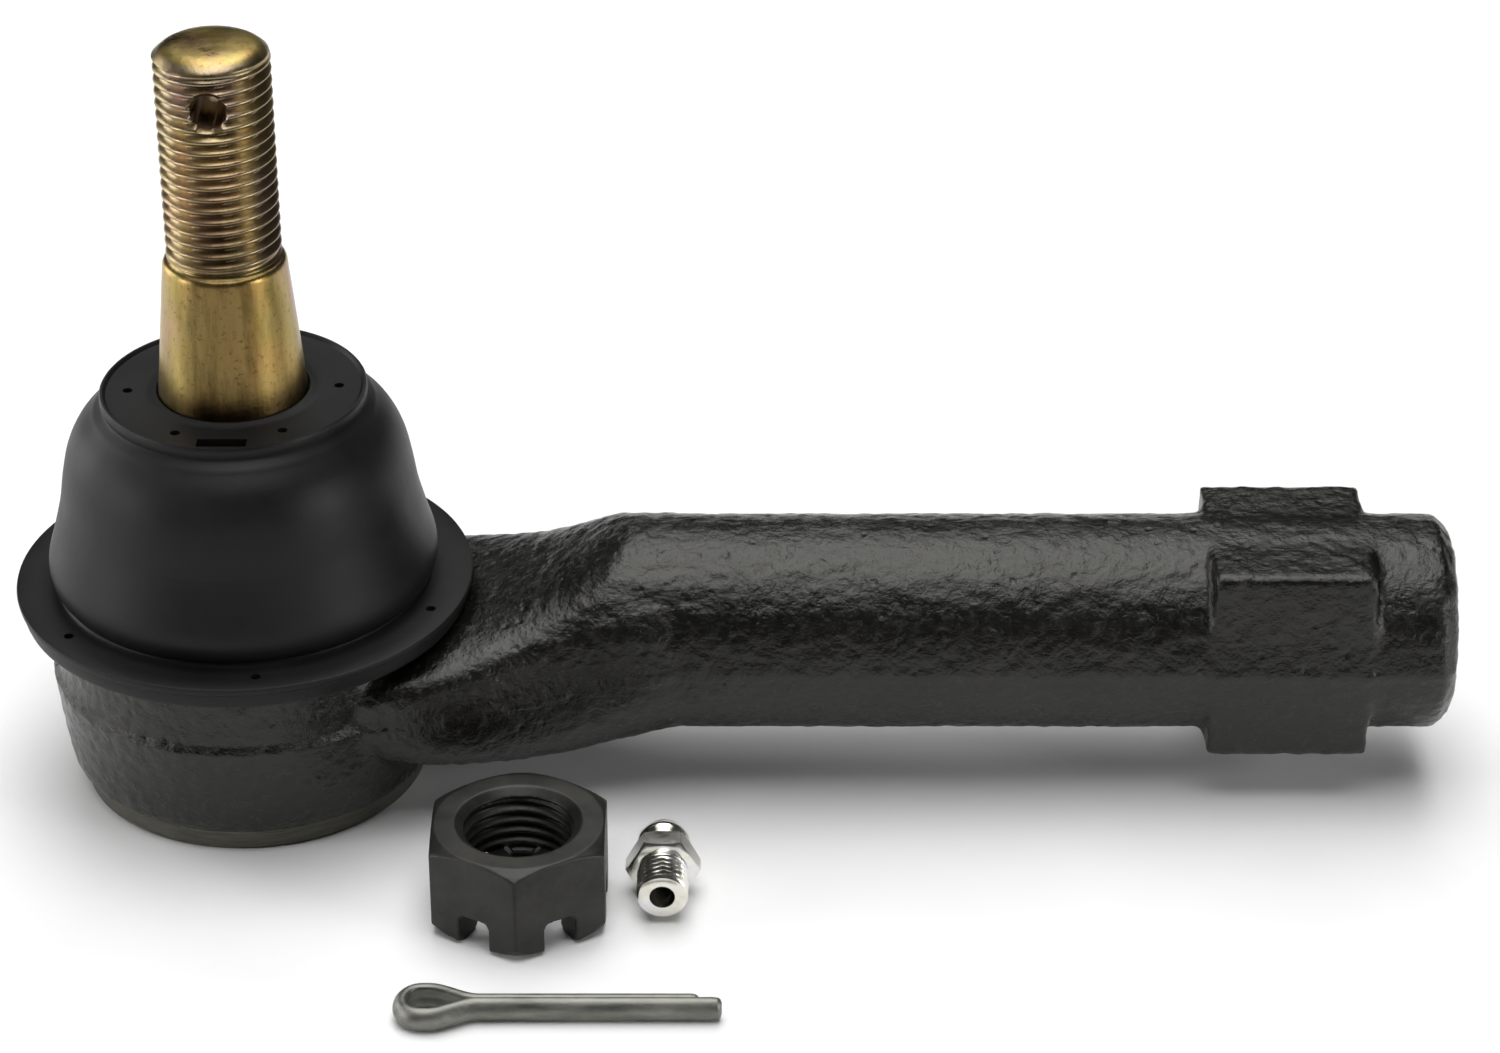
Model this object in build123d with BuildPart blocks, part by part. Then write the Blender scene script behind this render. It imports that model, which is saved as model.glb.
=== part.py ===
"""Tie rod end: a tapered ball stud in a forged housing with a threaded shank,
its rubber boot, and the slotted nut, cotter pin and grease fitting that go with it.
Millimetres. The origin is the centre of the ball, +Z runs up the stud and +X along the shank."""

import os
from math import cos, pi, sin, sqrt, tan, radians

from build123d import *

# Ball and its two bearings
ball_radius = 11.5
running_clearance = 0.08
liner_wall = 1.65
liner_top = 6.3
liner_bottom = -3.0
bearing_top_radius = 9.0
bearing_floor = 1.6
bearing_rim_height = 2.6

# Stud: neck, waist, taper and thread
neck_radius = 6.7
neck_top = 15.0
waist_radius = 9.2
waist_start = 21.5
taper_start = 34.4
taper_top = 52.6
taper_small_radius = 7.55
taper_half_angle = 5.2
taper_shoulder = 0.7
thread_radius = 7.0
stud_top = 81.0
stud_dome = 1.2
cotter_hole_radius = 2.15
cotter_hole_drop = 6.4
cotter_hole_flare = 0.6

# Forged housing, its parting plane and its socket
cup_below_ball = 7.1
parting_z = -2.4
cup_base_margin = 1.3
cup_bulge = 1.5
cup_top_draft = 0.4
cup_shoulder_drop = 3.6
base_ring_wall = 5.0
base_ring_height = 2.9
boss_wall = 6.2
spot_face_margin = 0.6
boss_above_bearing = 3.1
socket_mouth_margin = 0.4
socket_mouth_flare = 1.7
socket_bore_margin = 1.9

# Closing plate under the ball, held by the rolled lip
cover_thickness = 2.2
cover_seat_width = 3.2
lip_thickness = 1.6
lip_width = 2.0
cover_collar_radius = 5.2
cover_collar_drop = 1.2
grease_port_radius = 2.75
grease_passage_radius = 1.5
spring_thickness = 0.55
spring_inner_radius = 6.0

# Shank
shank_radius = 13.45
shank_z = 1.7
neck_length = 29.6
shank_end = 151.1
shank_end_round = 1.8
shank_thread_radius = 7.25
shank_thread_length = 72.0
shank_thread_chamfer = 1.0
block_from_end = 10.6
block_length = 20.0
block_flat_step = 0.45
block_flat_half_width = 11.8
block_ridge_rise = 0.35

# Boot, its two moulded-in steel rings and its bush
boot_top = 34.9
boot_crown_radius = 16.4
boot_crown_thickness = 3.4
boot_rim_width = 0.7
boot_rim_height = 0.4
boot_wall = 1.7
boot_flange_width = 5.9
boot_flange_drop = 0.4
boot_flange_thickness = 1.1
boot_skirt_inset = 0.6
boot_base_clearance = 1.8
boot_skin = 1.1
boot_hole_radius = 0.62
boot_hole_count = 6
flange_hole_inset = 3.0
flange_hole_angle = -21.5
crown_hole_inset = 3.5
crown_hole_angle = 3.0
crown_slot = (6.0, 1.9)
crown_slot_depth = 1.0
crown_slot_inset = 2.3
base_ring_leg = 1.0
base_ring_foot_inset = 1.2
base_ring_foot_thickness = 1.0
top_ring_inset = 1.2
top_ring_thickness = 1.0
bush_wall = 1.1
bush_length = 3.6
piece_gap = 0.12

# Loose hardware, laid out beside the shank on the plane of the housing's base
nut_across_flats = 21.0
nut_height = 12.6
nut_slot_width = 4.2
nut_slot_depth = 4.4
nut_bore_radius = 6.35
nut_bore_chamfer = 1.1
nut_place = (35.4, -34.0)
pin_radius = 1.55
pin_eye_inner = 2.1
pin_eye_length = 7.8
pin_long_leg = 38.6
pin_short_leg = 36.2
pin_leg_gap = 0.1
pin_place = (21.4, -56.7)
fitting_thread_radius = 3.15
fitting_thread_length = 5.4
fitting_hex_flats = 7.94
fitting_hex_height = 3.2
fitting_neck_radius = 2.45
fitting_head_radius = 3.3
fitting_length = 14.4
fitting_bore_radius = 1.55
fitting_mouth_radius = 0.9
fitting_ball_radius = 1.35
fitting_spring_wire = 0.22
fitting_spring_turns = 4
fitting_place = (52.7, -37.7)

os.makedirs("parts", exist_ok=True)

z_axis = Axis.Z
base_depth = ball_radius + cup_below_ball
floor_z = -base_depth
socket_mouth_radius = ball_radius + socket_mouth_margin
socket_bore_radius = ball_radius + socket_bore_margin
cover_radius = socket_bore_radius + cover_seat_width
lip_radius = cover_radius - lip_width
base_ring_radius = cover_radius + base_ring_wall
cup_base_radius = base_ring_radius + cup_base_margin
cup_radius = cup_base_radius + cup_bulge
cup_top_radius = cup_radius - cup_top_draft
boss_radius = socket_mouth_radius + socket_mouth_flare + boss_wall
boss_top = liner_top + boss_above_bearing
cup_shoulder_z = boss_top - cup_shoulder_drop
leg_radius = boss_radius + base_ring_leg
boot_base_radius = leg_radius + boot_base_clearance
boot_flange_radius = boot_base_radius + boot_flange_width
boot_flange_top = boss_top - boot_flange_drop
boot_skirt_radius = boot_flange_radius - boot_skirt_inset
flange_hole_circle = boot_flange_radius - flange_hole_inset
crown_hole_circle = boot_crown_radius - crown_hole_inset
crown_slot_circle = boot_crown_radius - crown_slot_inset
base_ring_foot_radius = boot_skirt_radius - base_ring_foot_inset
top_ring_outer_radius = boot_crown_radius - top_ring_inset
shank_start = cup_radius + neck_length
block_end = shank_end - block_from_end
block_start = block_end - block_length
block_half_height = shank_radius - block_flat_step
block_ridge_half_width = shank_radius + block_ridge_rise
liner_inner = ball_radius + running_clearance
liner_outer = liner_inner + liner_wall
socket_radius = liner_outer + running_clearance
base_z = -base_depth
cover_bottom = base_z + lip_thickness
cover_top = cover_bottom + cover_thickness
bearing_bottom = -ball_radius - running_clearance - bearing_floor
taper_large_radius = taper_small_radius + (taper_top - taper_start) * tan(radians(taper_half_angle))


def write(part, name):
    part.label = name
    export_step(part, f"parts/{name}.step")


def half_outline(half_width, height, power, count=13):
    """Points of half a superellipse, from +half_width round to -half_width."""
    points = []
    for i in range(count):
        turn = pi * i / (count - 1)
        across = round(cos(turn), 9)
        up = round(sin(turn), 9)
        side = 1 if across >= 0 else -1
        points.append((half_width * side * abs(across) ** (2 / power), height * up ** (2 / power)))
    return points


# --- Ball stud: ball, neck, waist, taper, thread ---
with BuildPart() as ball_stud:
    with BuildSketch(Plane.XZ) as stud_profile:
        with BuildLine():
            neck_start = sqrt(ball_radius**2 - neck_radius**2)
            ThreePointArc((0, -ball_radius), (ball_radius, 0), (neck_radius, neck_start))
            Line((neck_radius, neck_start), (neck_radius, neck_top))
            Spline((neck_radius, neck_top), (waist_radius, waist_start), tangents=((0, 1), (0, 1)))
            Polyline(
                (waist_radius, waist_start),
                (waist_radius, taper_start - 1),
                (taper_large_radius, taper_start),
                (taper_small_radius, taper_top),
                (thread_radius, taper_top + taper_shoulder),
                (thread_radius, stud_top - stud_dome),
                (thread_radius - stud_dome, stud_top - stud_dome * 0.35),
                (thread_radius - 2.6 * stud_dome, stud_top),
                (0, stud_top),
                (0, -ball_radius),
            )
        make_face()
    revolve(axis=z_axis)
    cotter_z = stud_top - cotter_hole_drop
    with BuildSketch(Plane.XZ.offset(thread_radius)):
        with Locations((0, cotter_z)):
            Circle(cotter_hole_radius)
    extrude(amount=-2 * thread_radius, mode=Mode.SUBTRACT)
    for side in (1, -1):
        mouth = Plane.XZ.offset(side * thread_radius)
        with BuildSketch(mouth):
            with Locations((0, cotter_z)):
                Circle(cotter_hole_radius + cotter_hole_flare)
        extrude(amount=-side * 1.2, taper=30, mode=Mode.SUBTRACT)
write(ball_stud.part, "ball_stud")


# --- Upper bearing: the spherical shell that the ball turns in ---
with BuildPart() as upper_bearing:
    Sphere(liner_outer)
    Sphere(liner_inner, mode=Mode.SUBTRACT)
    with Locations((0, 0, liner_top)):
        Box(60, 60, 30, align=(Align.CENTER, Align.CENTER, Align.MIN), mode=Mode.SUBTRACT)
    with Locations((0, 0, liner_bottom)):
        Box(60, 60, 30, align=(Align.CENTER, Align.CENTER, Align.MAX), mode=Mode.SUBTRACT)
write(upper_bearing.part, "upper_bearing")


# --- Lower bearing: the cup that the spring pushes up against the ball ---
with BuildPart() as lower_bearing:
    with BuildSketch(Plane.XZ):
        with BuildLine():
            rim_z = -sqrt(liner_inner**2 - bearing_top_radius**2)
            mid_turn = radians(20)
            middle = (liner_inner * sin(mid_turn), -liner_inner * cos(mid_turn))
            ThreePointArc((0, -liner_inner), middle, (bearing_top_radius, rim_z))
            rim_radius = socket_bore_radius - running_clearance
            Polyline(
                (bearing_top_radius, rim_z),
                (rim_radius, bearing_bottom + bearing_rim_height),
                (rim_radius, bearing_bottom),
                (0, bearing_bottom),
                (0, -liner_inner),
            )
        make_face()
    revolve(axis=z_axis)
    Cylinder(grease_passage_radius, 60, mode=Mode.SUBTRACT)
write(lower_bearing.part, "lower_bearing")


# --- Preload spring: a coned washer between the lower bearing and the cover ---
with BuildPart() as preload_spring:
    with BuildSketch(Plane.XZ):
        with BuildLine():
            spring_outer = rim_radius - 0.4
            Polyline(
                (spring_inner_radius, bearing_bottom),
                (spring_outer, cover_top + spring_thickness),
                (spring_outer, cover_top),
                (spring_inner_radius, bearing_bottom - spring_thickness),
                close=True,
            )
        make_face()
    revolve(axis=z_axis)
write(preload_spring.part, "preload_spring")


# --- Cover plate with a collar tapped for the grease fitting ---
with BuildPart() as cover_plate:
    with BuildSketch(Plane.XY.offset(cover_bottom)):
        Circle(cover_radius)
    extrude(amount=cover_thickness)
    with BuildSketch(Plane.XY.offset(cover_bottom)):
        Circle(cover_collar_radius)
    extrude(amount=-cover_collar_drop)
    with BuildSketch(Plane.XY.offset(cover_top)):
        Circle(grease_port_radius)
    extrude(amount=-2 * cover_thickness, mode=Mode.SUBTRACT)
write(cover_plate.part, "cover_plate")


# --- Housing: forged cup, neck and shank, then the machined socket and threaded bore ---
# Neck sections: x, half width, parting height, rise, drop, upper and lower corner powers
neck_rise = cup_shoulder_z - parting_z
neck_mid_rise = (neck_rise + shank_radius) / 2
neck_sections = [
    (cup_radius - 18.4, cup_radius - 4.8, parting_z, neck_rise - 0.2, 9.8, 5.0, 3.0),
    (cup_radius + 1.1, cup_radius - 5.8, parting_z, neck_rise - 0.2, 10.2, 5.0, 3.0),
    (cup_radius + 7.1, (cup_radius + shank_radius) / 2 - 2.0, parting_z + 0.6, neck_rise + 0.8, 11.2, 4.4, 3.2),
    (shank_start - 16.0, shank_radius + 1.5, parting_z + 1.8, neck_mid_rise - 0.4, shank_radius - 1.0, 3.3, 3.3),
    (shank_start - 7.0, shank_radius + 0.5, shank_z - 0.7, shank_radius + 0.2, shank_radius + 0.4, 2.3, 2.3),
]
with BuildPart() as housing:
    with BuildSketch(Plane.XZ):
        with BuildLine():
            Polyline(
                (0, base_z),
                (base_ring_radius, base_z),
                (base_ring_radius, base_z + base_ring_height),
                (cup_base_radius, base_z + base_ring_height + 0.4),
                (cup_radius, parting_z),
                (cup_top_radius, cup_shoulder_z),
                (0, cup_shoulder_z),
                close=True,
            )
        make_face()
    revolve(axis=z_axis)
    for x, width, middle_z, rise, drop, upper, lower in neck_sections:
        with BuildSketch(Plane.YZ.offset(x)):
            with BuildLine():
                Spline(*[(y, middle_z + z) for y, z in half_outline(width, rise, upper)])
                Spline(*[(y, middle_z - z) for y, z in half_outline(width, drop, lower)])
            make_face()
    with BuildSketch(Plane.YZ.offset(shank_start)):
        with BuildLine():
            ThreePointArc((shank_radius, shank_z), (0, shank_z + shank_radius), (-shank_radius, shank_z))
            ThreePointArc((shank_radius, shank_z), (0, shank_z - shank_radius), (-shank_radius, shank_z))
        make_face()
    loft()
    extrude(faces().sort_by(Axis.X)[-1], amount=shank_end - shank_start)
    chamfer(faces().sort_by(Axis.X)[-1].edges(), shank_end_round)
    with BuildSketch(Plane.YZ.offset(block_start)):
        with BuildLine():
            Polyline(
                (block_flat_half_width, shank_z + block_half_height),
                (block_ridge_half_width, shank_z),
                (block_flat_half_width, shank_z - block_half_height),
                (-block_flat_half_width, shank_z - block_half_height),
                (-block_ridge_half_width, shank_z),
                (-block_flat_half_width, shank_z + block_half_height),
                close=True,
            )
        make_face()
    extrude(amount=block_end - block_start)
    with BuildSketch(Plane.XY.offset(cup_shoulder_z)):
        Circle(boot_flange_radius + spot_face_margin)
    extrude(amount=boot_top, mode=Mode.SUBTRACT)
    with BuildSketch(Plane.XY.offset(cup_shoulder_z)):
        Circle(boss_radius)
    extrude(amount=boss_top - cup_shoulder_z)
    # socket: spherical seat above the ball centre, a plain bore below it, cover recess and lip
    with BuildSketch(Plane.XZ):
        with BuildLine():
            mouth_z = sqrt(socket_radius**2 - socket_mouth_radius**2)
            seat_start = (socket_radius, 0)
            seat_turn = radians(13)
            seat_middle = (socket_radius * cos(seat_turn), socket_radius * sin(seat_turn))
            ThreePointArc(seat_start, seat_middle, (socket_mouth_radius, mouth_z))
            Polyline(
                (socket_mouth_radius, mouth_z),
                (socket_mouth_radius + socket_mouth_flare, boss_top),
                (0, boss_top),
                (0, base_z),
                (lip_radius, base_z),
                (lip_radius, cover_bottom),
                (cover_radius, cover_bottom),
                (cover_radius, cover_top),
                (socket_bore_radius, cover_top),
                (socket_bore_radius, 0),
                seat_start,
            )
        make_face()
    revolve(axis=z_axis, mode=Mode.SUBTRACT)
    with BuildSketch(Plane.YZ.offset(shank_end)):
        with Locations((0, shank_z)):
            Circle(shank_thread_radius)
    extrude(amount=-shank_thread_length, mode=Mode.SUBTRACT)
    with BuildSketch(Plane.YZ.offset(shank_end)):
        with Locations((0, shank_z)):
            Circle(shank_thread_radius + shank_thread_chamfer)
    extrude(amount=-shank_thread_chamfer, taper=45, mode=Mode.SUBTRACT)
write(housing.part, "housing")


# --- Boot base ring: L-section steel ring pressed on the housing's boss ---
flange_bottom = cup_shoulder_z + piece_gap
foot_bottom = flange_bottom + 0.7
with BuildPart() as boot_base_ring:
    with BuildSketch(Plane.XZ):
        with BuildLine():
            Polyline(
                (boss_radius, flange_bottom),
                (leg_radius, flange_bottom),
                (leg_radius, foot_bottom),
                (base_ring_foot_radius, foot_bottom),
                (base_ring_foot_radius, foot_bottom + base_ring_foot_thickness),
                (leg_radius, foot_bottom + base_ring_foot_thickness),
                (leg_radius, boss_top),
                (boss_radius, boss_top),
                close=True,
            )
        make_face()
    revolve(axis=z_axis)
write(boot_base_ring.part, "boot_base_ring")


# --- Boot top ring and seal bush: they ride on the stud inside the boot's crown ---
bush_inner = waist_radius + running_clearance
bush_outer = bush_inner + bush_wall
bush_top = boot_top - boot_skin - piece_gap
top_ring_z = boot_top - boot_crown_thickness + 1.2
with BuildPart() as seal_bush:
    with BuildSketch(Plane.XY.offset(bush_top - bush_length)):
        Circle(bush_outer)
        Circle(bush_inner, mode=Mode.SUBTRACT)
    extrude(amount=bush_length)
write(seal_bush.part, "seal_bush")

with BuildPart() as boot_top_ring:
    with BuildSketch(Plane.XY.offset(top_ring_z)):
        Circle(top_ring_outer_radius)
        Circle(bush_outer, mode=Mode.SUBTRACT)
    extrude(amount=top_ring_thickness)
write(boot_top_ring.part, "boot_top_ring")


# --- Boot: crown, bellied wall and flange, one moulding ---
crown_bottom = boot_top - boot_crown_thickness
crease = (boot_crown_radius + 1.2, crown_bottom + 0.9)
# Shares of the way out from the crease to the base, and of the way up from the flange
wall_shape = [(0.4, 0.893), (0.66, 0.778), (0.8, 0.632), (0.92, 0.479), (1.12, 0.316), (1.32, 0.167), (1.26, 0.056)]
wall_spread = boot_base_radius - crease[0]
wall_rise = crease[1] - boot_flange_top
outer_wall = [
    crease,
    *[(crease[0] + out * wall_spread, boot_flange_top + up * wall_rise) for out, up in wall_shape],
    (boot_base_radius, boot_flange_top),
]
inner_base = (leg_radius, boss_top)
with BuildPart() as boot:
    with BuildSketch(Plane.XZ):
        with BuildLine():
            bore_radius = bush_inner + 0.05
            pocket_radius = bush_outer + piece_gap
            inner_wall = [(r - boot_wall, z) for r, z in outer_wall[1:-2]]
            Polyline(
                (bore_radius, boot_top - boot_skin),
                (bore_radius, boot_top),
                (boot_crown_radius - boot_rim_width, boot_top),
                (boot_crown_radius - boot_rim_width + 0.2, boot_top + boot_rim_height),
                (boot_crown_radius - 0.1, boot_top + boot_rim_height),
                (boot_crown_radius, boot_top - 0.6),
                (boot_crown_radius - 0.2, boot_top - 1.4),
                crease,
            )
            Spline(*outer_wall)
            Polyline(
                outer_wall[-1],
                (boot_flange_radius, boot_flange_top),
                (boot_flange_radius, boot_flange_top - boot_flange_thickness),
                (boot_skirt_radius, boot_flange_top - boot_flange_thickness),
                (boot_skirt_radius, flange_bottom),
                (leg_radius, flange_bottom),
                inner_base,
            )
            Spline(inner_base, *reversed(inner_wall), (boot_crown_radius - 0.6, crown_bottom))
            Polyline(
                (boot_crown_radius - 0.6, crown_bottom),
                (pocket_radius, crown_bottom),
                (pocket_radius, boot_top - boot_skin),
                (bore_radius, boot_top - boot_skin),
            )
        make_face()
    revolve(axis=z_axis)
    add(boot_base_ring.part, mode=Mode.SUBTRACT)
    with BuildSketch(Plane.XY.offset(top_ring_z - piece_gap)):
        Circle(top_ring_outer_radius + piece_gap)
        Circle(bush_outer, mode=Mode.SUBTRACT)
    extrude(amount=top_ring_thickness + 2 * piece_gap, mode=Mode.SUBTRACT)
    with BuildSketch(Plane.XY.offset(boot_flange_top)):
        with PolarLocations(flange_hole_circle, boot_hole_count, start_angle=flange_hole_angle):
            Circle(boot_hole_radius)
    foot_top = foot_bottom + base_ring_foot_thickness
    extrude(amount=-(boot_flange_top - foot_top), mode=Mode.SUBTRACT)
    with BuildSketch(Plane.XY.offset(boot_top)):
        with PolarLocations(crown_hole_circle, boot_hole_count, start_angle=crown_hole_angle):
            Circle(boot_hole_radius)
    extrude(amount=-(boot_top - top_ring_z - top_ring_thickness), mode=Mode.SUBTRACT)
    with BuildSketch(Plane.XY.offset(boot_top)):
        with Locations((0, -crown_slot_circle)):
            Rectangle(*crown_slot)
    extrude(amount=-crown_slot_depth, mode=Mode.SUBTRACT)
write(boot.part, "boot")


# --- Slotted nut: lies on its slots ---
nut_plane = Plane((*nut_place, floor_z))
nut_corner = nut_across_flats / sqrt(3)
with BuildPart() as castle_nut:
    with BuildSketch(nut_plane):
        RegularPolygon(nut_across_flats / 2, 6, major_radius=False, rotation=30)
    extrude(amount=nut_height)
    with BuildSketch(nut_plane):
        Circle(nut_bore_radius)
    extrude(amount=nut_height, mode=Mode.SUBTRACT)
    for slot in range(3):
        with BuildSketch(nut_plane):
            Rectangle(3 * nut_corner, nut_slot_width, rotation=60 * slot)
        extrude(amount=nut_slot_depth, mode=Mode.SUBTRACT)
    with BuildSketch(nut_plane.offset(nut_height)):
        Circle(nut_bore_radius + nut_bore_chamfer)
    extrude(amount=-nut_bore_chamfer, taper=45, mode=Mode.SUBTRACT)
    with BuildSketch(nut_plane):
        Circle(nut_across_flats / 2 - 0.3)
    extrude(amount=nut_height, taper=-60, mode=Mode.INTERSECT)
write(castle_nut.part, "castle_nut")


# --- Cotter pin: half-round wire folded to an eye, lying flat ---
pin_z = floor_z + pin_radius
leg_y = pin_leg_gap / 2
eye_y = pin_eye_inner
pin_origin = Vector(*pin_place, pin_z)
route = [
    (pin_short_leg, leg_y),
    (pin_eye_length, leg_y),
    (pin_eye_length * 0.42, eye_y),
    (pin_radius, eye_y),
    (pin_radius, -eye_y),
    (pin_eye_length * 0.42, -eye_y),
    (pin_eye_length, -leg_y),
    (pin_long_leg, -leg_y),
]
corner_radii = [4.0, 1.5, 1.5, 1.5, 1.5, 4.0]
with BuildPart() as cotter_pin:
    with BuildLine(Plane(pin_origin)) as pin_path:
        FilletPolyline(*route, radius=corner_radii)
    leg_plane = Plane(pin_origin + Vector(pin_short_leg, leg_y, 0), x_dir=(0, 1, 0), z_dir=(1, 0, 0))
    with BuildSketch(leg_plane):
        Circle(pin_radius)
        with Locations((-pin_radius, 0)):
            Rectangle(2 * pin_radius, 4 * pin_radius, mode=Mode.SUBTRACT)
    sweep(path=pin_path.wires()[0])
write(cotter_pin.part, "cotter_pin")


# --- Grease fitting: body, check ball and spring, lying along Y with its nipple away ---
fitting_z = floor_z + fitting_hex_flats / 2
fitting_origin = Vector(*fitting_place, fitting_z)
fitting_side = Plane(fitting_origin, x_dir=(0, 0, 1), z_dir=(-1, 0, 0))
fitting_end = Plane(fitting_origin, x_dir=(1, 0, 0), z_dir=(0, 1, 0))
fitting_axis = Axis(fitting_origin, (0, 1, 0))
hex_end = fitting_thread_length + fitting_hex_height
head_y = fitting_length - 3.4
seat_y = fitting_length - 2.2
seated_ball_y = seat_y - fitting_ball_radius
with BuildPart() as grease_fitting:
    with BuildSketch(fitting_side):
        with BuildLine():
            Polyline(
                (0, 0),
                (fitting_thread_radius - 0.5, 0),
                (fitting_thread_radius, 0.5),
                (fitting_thread_radius, hex_end),
                (fitting_neck_radius, hex_end + 0.2),
                (fitting_neck_radius, head_y - 1.0),
                (fitting_head_radius, head_y),
                (fitting_head_radius, head_y + 0.7),
                (fitting_mouth_radius + 0.5, fitting_length),
                (0, fitting_length),
                close=True,
            )
        make_face()
    revolve(axis=fitting_axis)
    with BuildSketch(fitting_end.offset(fitting_thread_length)):
        RegularPolygon(fitting_hex_flats / 2, 6, major_radius=False)
    extrude(amount=fitting_hex_height)
    with BuildSketch(fitting_end):
        Circle(fitting_bore_radius)
    extrude(amount=seat_y, mode=Mode.SUBTRACT)
    with BuildSketch(fitting_end):
        Circle(fitting_mouth_radius)
    extrude(amount=fitting_length, mode=Mode.SUBTRACT)
write(grease_fitting.part, "grease_fitting")

with BuildPart() as fitting_check_ball:
    with Locations(fitting_origin + Vector(0, seated_ball_y, 0)):
        Sphere(fitting_ball_radius)
write(fitting_check_ball.part, "fitting_check_ball")

spring_rest_y = fitting_thread_length - 1.0
coil_radius = fitting_bore_radius - fitting_spring_wire - 0.08
spring_rise = seated_ball_y - fitting_ball_radius * 0.72 - fitting_spring_wire - spring_rest_y
spring_start = fitting_origin + Vector(0, spring_rest_y, 0)
coil_pitch = spring_rise / fitting_spring_turns
with BuildPart() as fitting_spring:
    with BuildLine() as coil:
        Helix(coil_pitch, spring_rise, coil_radius, center=spring_start, direction=(0, 1, 0))
    with BuildSketch(Plane(origin=coil.line @ 0, z_dir=coil.line % 0)):
        Circle(fitting_spring_wire)
    sweep(path=coil.line, is_frenet=True)
write(fitting_spring.part, "fitting_spring")
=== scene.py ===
import math

import bpy
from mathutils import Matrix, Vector


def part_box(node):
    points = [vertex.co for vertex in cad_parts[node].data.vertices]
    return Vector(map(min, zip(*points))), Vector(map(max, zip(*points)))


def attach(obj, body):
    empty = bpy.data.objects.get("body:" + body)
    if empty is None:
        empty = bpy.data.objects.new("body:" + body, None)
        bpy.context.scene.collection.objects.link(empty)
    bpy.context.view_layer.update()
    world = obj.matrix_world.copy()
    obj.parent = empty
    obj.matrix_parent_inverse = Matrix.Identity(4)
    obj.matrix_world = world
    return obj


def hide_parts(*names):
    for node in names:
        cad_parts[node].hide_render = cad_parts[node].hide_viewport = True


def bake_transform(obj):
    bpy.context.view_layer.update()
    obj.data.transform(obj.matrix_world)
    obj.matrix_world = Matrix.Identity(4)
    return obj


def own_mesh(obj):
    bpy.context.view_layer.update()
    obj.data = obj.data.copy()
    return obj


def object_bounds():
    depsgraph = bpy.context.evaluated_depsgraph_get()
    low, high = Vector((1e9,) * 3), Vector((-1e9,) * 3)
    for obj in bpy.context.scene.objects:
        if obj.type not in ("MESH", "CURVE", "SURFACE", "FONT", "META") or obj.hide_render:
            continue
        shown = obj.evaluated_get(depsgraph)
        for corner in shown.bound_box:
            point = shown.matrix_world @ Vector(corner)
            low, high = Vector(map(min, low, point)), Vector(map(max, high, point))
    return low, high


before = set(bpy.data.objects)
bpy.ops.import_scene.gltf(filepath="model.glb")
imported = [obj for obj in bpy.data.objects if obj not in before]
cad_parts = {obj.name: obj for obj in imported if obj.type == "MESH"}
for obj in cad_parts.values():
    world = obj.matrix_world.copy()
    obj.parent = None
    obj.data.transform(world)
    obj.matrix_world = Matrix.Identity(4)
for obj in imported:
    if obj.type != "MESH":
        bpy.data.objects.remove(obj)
cad_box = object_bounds()
bpy.ops.object.select_all(action="DESELECT")
MM = 0.001


# ---------------------------------------------------------------------------------------------
# Housing: one steel forging, made of the ball's cup, a joggled neck and the shank with its wrench
# block. It is shot-blasted and dipped in black coating, which leaves the rough forged skin to be
# seen. The socket and the bore are machined.
def begin(name):
    """A new material that uses nodes, and its default Principled shader."""
    material = bpy.data.materials.new(name)
    material.use_nodes = True
    return material, material.node_tree, material.node_tree.nodes["Principled BSDF"]


def grain(tree, scale, detail=4.0, roughness=0.55, stretch=(1, 1, 1), kind="ShaderNodeTexNoise"):
    """A noise pattern fixed to the piece, with its size given in features per metre."""
    place = tree.nodes.new("ShaderNodeTexCoord")
    mapping = tree.nodes.new("ShaderNodeMapping")
    mapping.inputs["Scale"].default_value = stretch
    pattern = tree.nodes.new(kind)
    pattern.inputs["Scale"].default_value = scale
    if kind == "ShaderNodeTexNoise":
        pattern.inputs["Detail"].default_value = detail
        pattern.inputs["Roughness"].default_value = roughness
    tree.links.new(place.outputs["Object"], mapping.inputs["Vector"])
    tree.links.new(mapping.outputs["Vector"], pattern.inputs["Vector"])
    return pattern


def shades(tree, value, stops):
    """A colour ramp on a value: stops are (place, colour or grey level)."""
    ramp = tree.nodes.new("ShaderNodeValToRGB")
    while len(ramp.color_ramp.elements) < len(stops):
        ramp.color_ramp.elements.new(0.5)
    for element, (place, shade) in zip(ramp.color_ramp.elements, stops):
        element.position = place
        element.color = (shade, shade, shade, 1) if isinstance(shade, (int, float)) else (*shade, 1)
    tree.links.new(value, ramp.inputs["Fac"])
    return ramp.outputs["Color"]


def relief(tree, shader, height, strength, distance, under=None):
    """Bump from a height, on top of another bump if one is given."""
    bump = tree.nodes.new("ShaderNodeBump")
    bump.inputs["Strength"].default_value = strength
    bump.inputs["Distance"].default_value = distance
    tree.links.new(height, bump.inputs["Height"])
    if under is not None:
        tree.links.new(under, bump.inputs["Normal"])
    tree.links.new(bump.outputs["Normal"], shader.inputs["Normal"])
    return bump.outputs["Normal"]


def blended(tree, low, high, amount):
    """Two colours mixed by an amount."""
    mix = tree.nodes.new("ShaderNodeMix")
    mix.data_type = "RGBA"
    tree.links.new(amount, mix.inputs["Factor"])
    for socket, colour in ((mix.inputs[6], low), (mix.inputs[7], high)):
        if isinstance(colour, tuple):
            socket.default_value = (*colour, 1)
        else:
            tree.links.new(colour, socket)
    return mix.outputs[2]


def only(piece):
    """Selects one piece alone and makes it active."""
    bpy.ops.object.select_all(action="DESELECT")
    piece.select_set(True)
    bpy.context.view_layer.objects.active = piece


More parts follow.
